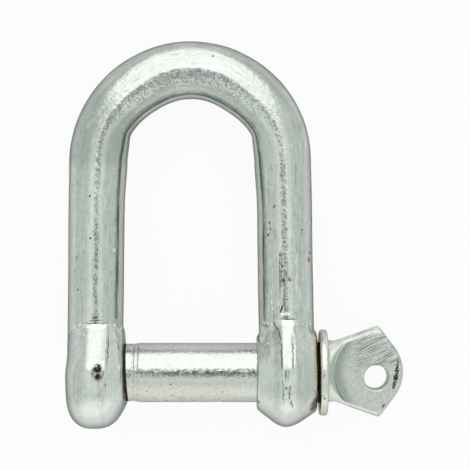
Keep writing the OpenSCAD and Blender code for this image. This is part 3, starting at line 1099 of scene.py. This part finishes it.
def zinc_pin():
    """Zinc over turned steel: a beige lower side on the shank, a brushed eye, painted highlight and shade
    on the eye's flat, and painted shade beside the ears.
    """
    s = Shading(bpy.data.materials.new("zinc_pin"))
    place = s.attribute("place")
    x, y, z = s.split(place)
    warped = s.warped(place, PIN_WANDER)
    cloud = s.noise(place, scale=0.45, detail=3)
    grain = s.noise(place, scale=1.8, detail=1)
    fine = s.noise(place, scale=3.6, detail=1)
    turned = s.noise(place, scale=1.0, detail=2, stretch=(0.33, 4.0, 4.0))
    speck = s.noise(place, scale=1.9, detail=2)

    on_eye = s.span(x, *EYE_X)
    on_collar = s.math("SUBTRACT", s.span(x, *COLLAR_START_X), on_eye)
    on_shank = s.span(x, *SHANK_END_X)
    above = s.span(z, *TOP_SIDE_Z)

    beige_side = s.product(s.span(y, *BEIGE_SIDE_Y), s.span(cloud, *BEIGE_SIDE_BREAK), on_shank, s.span(x, *BEIGE_SIDE_X))
    cream = s.product(beige_side, s.span(speck, *CREAM_BREAK))
    brown = s.product(beige_side, s.span(speck, *BROWN_BREAK))
    # Painted reflection of the dark camera along the shank's top
    reflection_line = s.product(s.span(s.apart(y, SHANK_LINE_Y), *SHANK_LINE_HALF_W), on_shank, above)
    reflection_line = s.product(reflection_line, s.span(speck, *SHANK_LINE_BREAK))

    dirt = s.product(s.marks(warped, PIN_DIRT), above, s.span(fine, *DIRT_BREAK))
    # Painted shade in the mouth of the threaded bore and in the gap beside the collar
    slanted = s.math("MULTIPLY_ADD", y, BOSS_SKEW, x)
    mouth = s.math("SUBTRACT", s.span(slanted, *MOUTH_START_X), s.span(x, *MOUTH_END_X))
    gap_shade = s.product(s.span(x, *GAP_START_X), s.span(x, *GAP_END_X))
    grime_and_shade = s.largest(dirt, mouth, gap_shade)
    crust = s.product(s.span(y, *CRUST_Y), s.span(x, *CRUST_START_X), s.span(x, *CRUST_END_X))

    brushed = s.noise(place, scale=1.0, detail=2, stretch=BRUSH_STRETCH, turn=BRUSH_TURN)
    upper_right = s.product(s.span(x, *BRUSHED_X), s.span(y, *BRUSHED_Y))
    brushed_share = s.product(on_eye, s.math("MULTIPLY_ADD", upper_right, BRUSHED_MORE, BRUSHED_LEAST))
    scratches = s.product(s.span(brushed, *SCRATCH_BREAK), brushed_share)
    # Painted highlight on the pressed flat's wall and the flanks' inner edge, and painted shade in the
    # flat's foot
    flat_reach = s.length(s.vector("MULTIPLY", s.vector("ADD", place, (-FLAT_X, 0, 0)), (1, 1, 0)))
    wall = s.product(s.span(flat_reach, *WALL_START_R), s.span(flat_reach, *WALL_END_R))
    from_flank = s.math("MULTIPLY_ADD", x, -math.tan(FLANK_ANGLE), s.apart(y, EYE_SHIFT))
    flank = s.product(s.span(from_flank, *FLANK_PALE), s.span(x, *FLANK_END_X))
    flank = s.product(flank, s.span(from_flank, *FLANK_GREY))
    wall = s.product(s.largest(wall, flank), on_eye)
    foot_shade = s.product(s.span(flat_reach, *FOOT_START_R), s.span(x, *FOOT_X), s.span(flat_reach, *FOOT_END_R))

    tone = s.blend(((cloud, 0.45), (grain, 0.5), (turned, 0.2)))
    colour = s.mix(tone, DARK_ZINC, PALE_ZINC)
    colour = s.mix(s.product(foot_shade, 0.7), colour, SCRATCH_AND_SHADE_ZINC)
    colour = s.mix(s.product(scratches, 0.9), colour, SCRATCH_AND_SHADE_ZINC)
    colour = s.mix(s.product(reflection_line, 0.6), colour, REFLECTION_SPECK)
    colour = s.mix(s.product(beige_side, 0.4), colour, BEIGE)
    colour = s.mix(cream, colour, CREAM)
    colour = s.mix(brown, colour, BROWN)
    colour = s.mix(s.product(on_collar, 0.85), colour, ROSE)
    colour = s.mix(wall, colour, BURR_AND_GLINT_WHITE)
    colour = s.mix(grime_and_shade, colour, GRIME_AND_SHADE)
    colour = s.mix(s.product(crust, s.span(speck, *CRUST_BREAK)), colour, OLIVE)
    roughness = s.blend((
        (cloud, 0.14), (grain, 0.08), (on_eye, 0.12), (beige_side, 0.12), (cream, 0.25), (grime_and_shade, 0.3), (1.0, 0.10),
    ))
    s.relief(s.blend((
        (grain, 0.035), (fine, 0.014), (cream, 0.03), (brown, -0.04), (scratches, -0.04), (dirt, -0.06),
    )))
    return s.finish(
        Base_Color=colour,
        Metallic=s.blend(((cream, -0.5), (brown, -0.5), (grime_and_shade, -0.3), (wall, -0.5), (1.0, 1.0))),
        Roughness=roughness,
        Specular_Tint=PIN_EDGE_TINT,
    )


# Pieces

BOW_CELL = 0.29
PIN_CELL = 0.205
MARGIN = 1.0

bow_material = zinc_bow()
pin_material = zinc_pin()
bow_points, bow_quads = meshed(
    bow_field,
    (-EAR_OUTER_X - MARGIN, -EAR_R - MARGIN, -EAR_R - MARGIN),
    (EAR_OUTER_X + MARGIN, CROWN_Y + CROWN_OUTER_R + MARGIN, EAR_R + MARGIN),
    BOW_CELL,
)
pin_points, pin_quads = meshed(
    pin_field,
    (PIN_TIP_X - MARGIN, -CORNER_Y - MARGIN, -COLLAR_R - MARGIN),
    (PIN_END_X + MARGIN, CORNER_Y + MARGIN, COLLAR_R + MARGIN),
    PIN_CELL,
)

bow = make_piece("forged_bow", bow_points, bow_quads, bow_material)
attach(bow, "bow")
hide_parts("shackle_bow")
pin = make_piece("turned_pin", pin_points, pin_quads, pin_material)
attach(pin, "pin")
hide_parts("screw_pin")


# Stage: the camera, in millimetres of the flat frame, and what stands around the part

CAMERA_DISTANCE = 287.2
CAMERA_AIM = (7.45, 23.22)
CAMERA_LENS = 130.2
CAMERA_SENSOR = 36
CAMERA_CLIP = 0.01
SHADE_SIZE = (32, 72)
SHADE_OFFSET = (-8, -22)
SHADE_SIDES = 48
SHADE_COLOUR = (0.02, 0.022, 0.035, 1)
SHADE_ROUGHNESS = 0.8
# The floor lies this far below the part, so that the forging's waves stay above it; half width in metres
FLOOR_GAP = 0.06
FLOOR_HALF = 2.0
FLOOR_COLOUR = (0.8, 0.8, 0.8, 1)
FLOOR_ROUGHNESS = 0.9
# Share of plain white in the floor as the camera and as the metal see it; the rest is the lit floor
FLOOR_WHITE_SEEN = 0.93
FLOOR_WHITE_MIRRORED = 0.38
# Softbox, in metres: its size is a share of its distance
SOFTBOX_DISTANCE = 0.72
SOFTBOX_POLAR = math.radians(52.3)
SOFTBOX_SIZE = (1.05, 1.535)
SOFTBOX_X = -0.025
SOFTBOX_RADIANCE = 0.72
SOFTBOX_COLOUR = (1.0, 0.95, 0.965)
# World: walls, and where the ceiling begins upward and the fill card towards -Y
WALL_COLOUR = (0.65, 0.72, 0.66)
CEILING_COLOUR = (0.79, 0.84, 0.80)
CEILING_Z = (0.8, 0.97)
FILL_COLOUR = (0.95, 0.95, 0.92)
FILL_Y = (-0.5, -0.95)


def add_face(name, corners, material):
    """One flat face."""
    mesh = bpy.data.meshes.new(name)
    mesh.from_pydata(corners, [], [range(len(corners))])
    mesh.materials.append(material)
    return add_object(name, mesh)


def add_camera():
    data = bpy.data.cameras.new("camera")
    data.lens = CAMERA_LENS
    data.sensor_width = CAMERA_SENSOR
    data.clip_start = CAMERA_CLIP
    camera = add_object("camera", data)
    camera.location = leaned(np.array([[*CAMERA_AIM, CAMERA_DISTANCE]]))[0]
    camera.rotation_euler = (-LAY_TILT, 0, 0)
    bpy.context.scene.camera = camera


def add_camera_shade():
    """The dark front of the camera and its stand, which the metal reflects but no camera sees."""
    s = Shading(bpy.data.materials.new("camera_shade"))
    material = s.finish(Base_Color=SHADE_COLOUR, Roughness=SHADE_ROUGHNESS)
    turns = np.arange(SHADE_SIDES) * TAU / SHADE_SIDES
    x = CAMERA_AIM[0] + SHADE_OFFSET[0] + SHADE_SIZE[0] * np.cos(turns)
    y = CAMERA_AIM[1] + SHADE_OFFSET[1] + SHADE_SIZE[1] * np.sin(turns)
    z = np.full(SHADE_SIDES, CAMERA_DISTANCE)
    shade = add_face("camera_shade", leaned(np.stack([x, y, z], 1)).tolist(), material)
    shade.visible_camera = False
    shade.visible_diffuse = False
    shade.visible_shadow = False


def add_floor():
    """Pale floor: lit and shadowed, with white mixed in as the camera and the metal see it."""
    s = Shading(bpy.data.materials.new("floor"))
    rays = s.node("LightPath", {}).outputs
    mirrored = s.largest(rays["Is Glossy Ray"], rays["Is Transmission Ray"])
    mirrored = s.product(mirrored, FLOOR_WHITE_MIRRORED)
    share = s.largest(s.product(rays["Is Camera Ray"], FLOOR_WHITE_SEEN), mirrored)
    white = s.node("Emission", {}).outputs[0]
    mixed = s.node("MixShader", {0: share, 1: s.surface.outputs[0], 2: white}).outputs[0]
    s.join(mixed, s.tree.nodes["Material Output"].inputs["Surface"])
    material = s.finish(Base_Color=FLOOR_COLOUR, Roughness=FLOOR_ROUGHNESS)
    z = (FLOOR_Z - FLOOR_GAP) * MM
    signs = ((-1, -1), (1, -1), (1, 1), (-1, 1))
    floor = add_face("floor", [(i * FLOOR_HALF, j * FLOOR_HALF, z) for i, j in signs], material)


def add_softbox():
    """An oval light on the crown's side, aimed at the part."""
    data = bpy.data.lights.new("softbox", "AREA")
    data.shape = "ELLIPSE"
    data.size = SOFTBOX_SIZE[0] * SOFTBOX_DISTANCE
    data.size_y = SOFTBOX_SIZE[1] * SOFTBOX_DISTANCE
    data.energy = SOFTBOX_RADIANCE * math.pi * math.pi / 4 * data.size * data.size_y
    data.color = SOFTBOX_COLOUR
    lamp = add_object("softbox", data)
    back, up = math.sin(SOFTBOX_POLAR), math.cos(SOFTBOX_POLAR)
    lamp.location = (SOFTBOX_X, SOFTBOX_DISTANCE * back, SOFTBOX_DISTANCE * up)
    lamp.rotation_euler = (-SOFTBOX_POLAR, 0, 0)


def add_world():
    """Pale walls, a lighter ceiling and a fill card on the side away from the softbox."""
    s = Shading(bpy.data.worlds.new("world"), "Background")
    _, y, z = s.split(s.node("TexCoord", {}).outputs["Generated"])
    colour = s.mix(s.span(z, *CEILING_Z), WALL_COLOUR, CEILING_COLOUR)
    colour = s.mix(s.span(y, *FILL_Y), colour, FILL_COLOUR)
    bpy.context.scene.world = s.finish(Color=colour)


add_camera()
add_camera_shade()
add_floor()
add_softbox()
add_world()
bpy.context.scene.view_settings.view_transform = "Standard"
